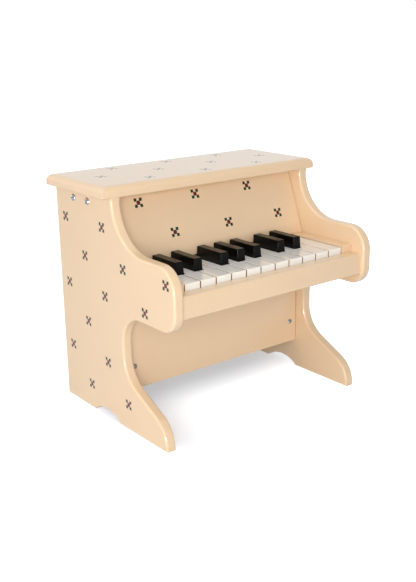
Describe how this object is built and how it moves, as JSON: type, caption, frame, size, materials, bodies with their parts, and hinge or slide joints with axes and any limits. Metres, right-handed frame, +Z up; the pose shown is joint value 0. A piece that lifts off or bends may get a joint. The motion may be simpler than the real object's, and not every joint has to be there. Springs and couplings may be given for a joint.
{
  "type": "toy piano",
  "caption": "Table-top upright toy piano with a cream board cabinet, shaped sides and a short keyboard whose keys throw hammers at hanging steel tone rods.",
  "frame": {"origin": "on the floor, at the middle of the piano's width and depth", "axes": "+X to the player's right, +Y away from the player, +Z up"},
  "size_m": [0.3, 0.226, 0.267],
  "materials": {
    "cream_lacquered_board": "semi-gloss cream lacquer on board",
    "plywood_back": "thin plywood, sealed",
    "bare_softwood": "planed softwood",
    "steel_rod": "drawn steel",
    "felt": "wool felt",
    "moulded_plastic": "moulded, matte",
    "die_cast_zinc": "die-cast, grey",
    "zinc_plated_steel": "zinc plated",
    "white_key_lacquer": "gloss white lacquer",
    "black_key_lacquer": "gloss black lacquer"
  },
  "bodies": {
    "cabinet": {"left_side": "cream_lacquered_board", "right_side": "cream_lacquered_board", "lid": "cream_lacquered_board", "upper_panel": "cream_lacquered_board", "knee_panel": "cream_lacquered_board", "key_slip": "cream_lacquered_board", "left_key_block": "cream_lacquered_board", "right_key_block": "cream_lacquered_board", "back_panel": "plywood_back", "key_bed": "bare_softwood", "top_rail": "bare_softwood", "corner_cleats": "bare_softwood", "key_rest_rail": "bare_softwood", "balance_rod": "steel_rod", "hammer_rod": "steel_rod", "tone_rods": "steel_rod", "key_rest_felt": "felt", "front_stop_felt": "felt", "tone_block": "die_cast_zinc", "side_screws": "zinc_plated_steel", "knee_panel_screws": "zinc_plated_steel", "back_panel_screws": "zinc_plated_steel", "tone_block_screws": "zinc_plated_steel", "hammer_comb": "moulded_plastic"},
    "white_key_01": {"white_key_01": "white_key_lacquer"},
    "hammer_01": {"hammer_01": "moulded_plastic"},
    "black_key_01": {"black_key_01": "black_key_lacquer"},
    "hammer_02": {"hammer_02": "moulded_plastic"},
    "white_key_02": {"white_key_02": "white_key_lacquer"},
    "hammer_03": {"hammer_03": "moulded_plastic"},
    "black_key_02": {"black_key_02": "black_key_lacquer"},
    "hammer_04": {"hammer_04": "moulded_plastic"},
    "white_key_03": {"white_key_03": "white_key_lacquer"},
    "hammer_05": {"hammer_05": "moulded_plastic"},
    "white_key_04": {"white_key_04": "white_key_lacquer"},
    "hammer_06": {"hammer_06": "moulded_plastic"},
    "black_key_03": {"black_key_03": "black_key_lacquer"},
    "hammer_07": {"hammer_07": "moulded_plastic"},
    "white_key_05": {"white_key_05": "white_key_lacquer"},
    "hammer_08": {"hammer_08": "moulded_plastic"},
    "black_key_04": {"black_key_04": "black_key_lacquer"},
    "hammer_09": {"hammer_09": "moulded_plastic"},
    "white_key_06": {"white_key_06": "white_key_lacquer"},
    "hammer_10": {"hammer_10": "moulded_plastic"},
    "black_key_05": {"black_key_05": "black_key_lacquer"},
    "hammer_11": {"hammer_11": "moulded_plastic"},
    "white_key_07": {"white_key_07": "white_key_lacquer"},
    "hammer_12": {"hammer_12": "moulded_plastic"},
    "white_key_08": {"white_key_08": "white_key_lacquer"},
    "hammer_13": {"hammer_13": "moulded_plastic"},
    "black_key_06": {"black_key_06": "black_key_lacquer"},
    "hammer_14": {"hammer_14": "moulded_plastic"},
    "white_key_09": {"white_key_09": "white_key_lacquer"},
    "hammer_15": {"hammer_15": "moulded_plastic"},
    "black_key_07": {"black_key_07": "black_key_lacquer"},
    "hammer_16": {"hammer_16": "moulded_plastic"},
    "white_key_10": {"white_key_10": "white_key_lacquer"},
    "hammer_17": {"hammer_17": "moulded_plastic"},
    "white_key_11": {"white_key_11": "white_key_lacquer"},
    "hammer_18": {"hammer_18": "moulded_plastic"}
  },
  "joints": [
    {"name": "white_key_01_press", "type": "hinge", "parent": "cabinet", "child": "white_key_01", "pos_m": [0, -0.0211, 0.1706], "axis": [1, 0, 0], "range_deg": [0, 4.81]},
    {"name": "hammer_01_swing", "type": "hinge", "parent": "cabinet", "child": "hammer_01", "pos_m": [0, 0.089, 0.1825], "axis": [-1, 0, 0], "range_deg": [0, 28.58]},
    {"name": "black_key_01_press", "type": "hinge", "parent": "cabinet", "child": "black_key_01", "pos_m": [0, -0.0211, 0.1706], "axis": [1, 0, 0], "range_deg": [0, 4.81]},
    {"name": "hammer_02_swing", "type": "hinge", "parent": "cabinet", "child": "hammer_02", "pos_m": [0, 0.089, 0.1825], "axis": [-1, 0, 0], "range_deg": [0, 28.58]},
    {"name": "white_key_02_press", "type": "hinge", "parent": "cabinet", "child": "white_key_02", "pos_m": [0, -0.0211, 0.1706], "axis": [1, 0, 0], "range_deg": [0, 4.81]},
    {"name": "hammer_03_swing", "type": "hinge", "parent": "cabinet", "child": "hammer_03", "pos_m": [0, 0.089, 0.1825], "axis": [-1, 0, 0], "range_deg": [0, 28.58]},
    {"name": "black_key_02_press", "type": "hinge", "parent": "cabinet", "child": "black_key_02", "pos_m": [0, -0.0211, 0.1706], "axis": [1, 0, 0], "range_deg": [0, 4.81]},
    {"name": "hammer_04_swing", "type": "hinge", "parent": "cabinet", "child": "hammer_04", "pos_m": [0, 0.089, 0.1825], "axis": [-1, 0, 0], "range_deg": [0, 28.58]},
    {"name": "white_key_03_press", "type": "hinge", "parent": "cabinet", "child": "white_key_03", "pos_m": [0, -0.0211, 0.1706], "axis": [1, 0, 0], "range_deg": [0, 4.81]},
    {"name": "hammer_05_swing", "type": "hinge", "parent": "cabinet", "child": "hammer_05", "pos_m": [0, 0.089, 0.1825], "axis": [-1, 0, 0], "range_deg": [0, 28.58]},
    {"name": "white_key_04_press", "type": "hinge", "parent": "cabinet", "child": "white_key_04", "pos_m": [0, -0.0211, 0.1706], "axis": [1, 0, 0], "range_deg": [0, 4.81]},
    {"name": "hammer_06_swing", "type": "hinge", "parent": "cabinet", "child": "hammer_06", "pos_m": [0, 0.089, 0.1825], "axis": [-1, 0, 0], "range_deg": [0, 28.58]},
    {"name": "black_key_03_press", "type": "hinge", "parent": "cabinet", "child": "black_key_03", "pos_m": [0, -0.0211, 0.1706], "axis": [1, 0, 0], "range_deg": [0, 4.81]},
    {"name": "hammer_07_swing", "type": "hinge", "parent": "cabinet", "child": "hammer_07", "pos_m": [0, 0.089, 0.1825], "axis": [-1, 0, 0], "range_deg": [0, 28.58]},
    {"name": "white_key_05_press", "type": "hinge", "parent": "cabinet", "child": "white_key_05", "pos_m": [0, -0.0211, 0.1706], "axis": [1, 0, 0], "range_deg": [0, 4.81]},
    {"name": "hammer_08_swing", "type": "hinge", "parent": "cabinet", "child": "hammer_08", "pos_m": [0, 0.089, 0.1825], "axis": [-1, 0, 0], "range_deg": [0, 28.58]},
    {"name": "black_key_04_press", "type": "hinge", "parent": "cabinet", "child": "black_key_04", "pos_m": [0, -0.0211, 0.1706], "axis": [1, 0, 0], "range_deg": [0, 4.81]},
    {"name": "hammer_09_swing", "type": "hinge", "parent": "cabinet", "child": "hammer_09", "pos_m": [0, 0.089, 0.1825], "axis": [-1, 0, 0], "range_deg": [0, 28.58]},
    {"name": "white_key_06_press", "type": "hinge", "parent": "cabinet", "child": "white_key_06", "pos_m": [0, -0.0211, 0.1706], "axis": [1, 0, 0], "range_deg": [0, 4.81]},
    {"name": "hammer_10_swing", "type": "hinge", "parent": "cabinet", "child": "hammer_10", "pos_m": [0, 0.089, 0.1825], "axis": [-1, 0, 0], "range_deg": [0, 28.58]},
    {"name": "black_key_05_press", "type": "hinge", "parent": "cabinet", "child": "black_key_05", "pos_m": [0, -0.0211, 0.1706], "axis": [1, 0, 0], "range_deg": [0, 4.81]},
    {"name": "hammer_11_swing", "type": "hinge", "parent": "cabinet", "child": "hammer_11", "pos_m": [0, 0.089, 0.1825], "axis": [-1, 0, 0], "range_deg": [0, 28.58]},
    {"name": "white_key_07_press", "type": "hinge", "parent": "cabinet", "child": "white_key_07", "pos_m": [0, -0.0211, 0.1706], "axis": [1, 0, 0], "range_deg": [0, 4.81]},
    {"name": "hammer_12_swing", "type": "hinge", "parent": "cabinet", "child": "hammer_12", "pos_m": [0, 0.089, 0.1825], "axis": [-1, 0, 0], "range_deg": [0, 28.58]},
    {"name": "white_key_08_press", "type": "hinge", "parent": "cabinet", "child": "white_key_08", "pos_m": [0, -0.0211, 0.1706], "axis": [1, 0, 0], "range_deg": [0, 4.81]},
    {"name": "hammer_13_swing", "type": "hinge", "parent": "cabinet", "child": "hammer_13", "pos_m": [0, 0.089, 0.1825], "axis": [-1, 0, 0], "range_deg": [0, 28.58]},
    {"name": "black_key_06_press", "type": "hinge", "parent": "cabinet", "child": "black_key_06", "pos_m": [0, -0.0211, 0.1706], "axis": [1, 0, 0], "range_deg": [0, 4.81]},
    {"name": "hammer_14_swing", "type": "hinge", "parent": "cabinet", "child": "hammer_14", "pos_m": [0, 0.089, 0.1825], "axis": [-1, 0, 0], "range_deg": [0, 28.58]},
    {"name": "white_key_09_press", "type": "hinge", "parent": "cabinet", "child": "white_key_09", "pos_m": [0, -0.0211, 0.1706], "axis": [1, 0, 0], "range_deg": [0, 4.81]},
    {"name": "hammer_15_swing", "type": "hinge", "parent": "cabinet", "child": "hammer_15", "pos_m": [0, 0.089, 0.1825], "axis": [-1, 0, 0], "range_deg": [0, 28.58]},
    {"name": "black_key_07_press", "type": "hinge", "parent": "cabinet", "child": "black_key_07", "pos_m": [0, -0.0211, 0.1706], "axis": [1, 0, 0], "range_deg": [0, 4.81]},
    {"name": "hammer_16_swing", "type": "hinge", "parent": "cabinet", "child": "hammer_16", "pos_m": [0, 0.089, 0.1825], "axis": [-1, 0, 0], "range_deg": [0, 28.58]},
    {"name": "white_key_10_press", "type": "hinge", "parent": "cabinet", "child": "white_key_10", "pos_m": [0, -0.0211, 0.1706], "axis": [1, 0, 0], "range_deg": [0, 4.81]},
    {"name": "hammer_17_swing", "type": "hinge", "parent": "cabinet", "child": "hammer_17", "pos_m": [0, 0.089, 0.1825], "axis": [-1, 0, 0], "range_deg": [0, 28.58]},
    {"name": "white_key_11_press", "type": "hinge", "parent": "cabinet", "child": "white_key_11", "pos_m": [0, -0.0211, 0.1706], "axis": [1, 0, 0], "range_deg": [0, 4.81]},
    {"name": "hammer_18_swing", "type": "hinge", "parent": "cabinet", "child": "hammer_18", "pos_m": [0, 0.089, 0.1825], "axis": [-1, 0, 0], "range_deg": [0, 28.58]}
  ],
  "couplings": [
    {"joint": "hammer_01_swing", "follows": "white_key_01_press", "ratio": 5.937},
    {"joint": "hammer_02_swing", "follows": "black_key_01_press", "ratio": 5.937},
    {"joint": "hammer_03_swing", "follows": "white_key_02_press", "ratio": 5.937},
    {"joint": "hammer_04_swing", "follows": "black_key_02_press", "ratio": 5.937},
    {"joint": "hammer_05_swing", "follows": "white_key_03_press", "ratio": 5.937},
    {"joint": "hammer_06_swing", "follows": "white_key_04_press", "ratio": 5.937},
    {"joint": "hammer_07_swing", "follows": "black_key_03_press", "ratio": 5.937},
    {"joint": "hammer_08_swing", "follows": "white_key_05_press", "ratio": 5.937},
    {"joint": "hammer_09_swing", "follows": "black_key_04_press", "ratio": 5.937},
    {"joint": "hammer_10_swing", "follows": "white_key_06_press", "ratio": 5.937},
    {"joint": "hammer_11_swing", "follows": "black_key_05_press", "ratio": 5.937},
    {"joint": "hammer_12_swing", "follows": "white_key_07_press", "ratio": 5.937},
    {"joint": "hammer_13_swing", "follows": "white_key_08_press", "ratio": 5.937},
    {"joint": "hammer_14_swing", "follows": "black_key_06_press", "ratio": 5.937},
    {"joint": "hammer_15_swing", "follows": "white_key_09_press", "ratio": 5.937},
    {"joint": "hammer_16_swing", "follows": "black_key_07_press", "ratio": 5.937},
    {"joint": "hammer_17_swing", "follows": "white_key_10_press", "ratio": 5.937},
    {"joint": "hammer_18_swing", "follows": "white_key_11_press", "ratio": 5.937}
  ]
}
